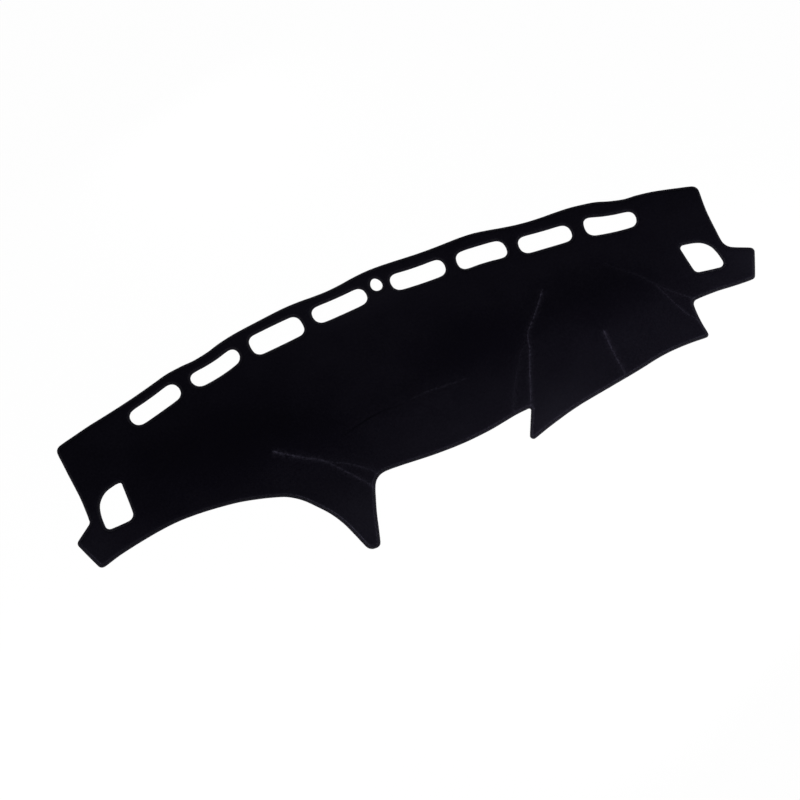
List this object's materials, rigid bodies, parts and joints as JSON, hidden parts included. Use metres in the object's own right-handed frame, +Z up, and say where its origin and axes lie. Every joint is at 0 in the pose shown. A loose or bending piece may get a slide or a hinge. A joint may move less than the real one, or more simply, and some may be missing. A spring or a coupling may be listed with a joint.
{
  "type": "dashboard cover mat",
  "caption": "Dark pile-cloth dashboard cover: a shaped sheet with sewn darts, slots over the windscreen vents, holes for a sensor and side vents, and overlocked edges.",
  "frame": {"origin": "middle of the mat's footprint, on the plane that it lies on", "axes": "+X across the car to its right, +Y to the windscreen, +Z up out of the pile"},
  "size_m": [1.4496, 0.5362, 0.0168],
  "materials": {
    "pile_cloth": "short cut pile, matt with a faint sheen",
    "overlock_thread": "spun polyester thread, slight sheen"
  },
  "bodies": {
    "root": {"mat_panel": "pile_cloth", "edge_overlock": "overlock_thread", "slot_overlock_1": "overlock_thread", "slot_overlock_2": "overlock_thread", "slot_overlock_3": "overlock_thread", "slot_overlock_4": "overlock_thread", "slot_overlock_5": "overlock_thread", "slot_overlock_6": "overlock_thread", "slot_overlock_7": "overlock_thread", "slot_overlock_8": "overlock_thread", "sensor_hole_overlock": "overlock_thread", "side_hole_overlock_left": "overlock_thread", "side_hole_overlock_right": "overlock_thread"}
  },
  "joints": []
}
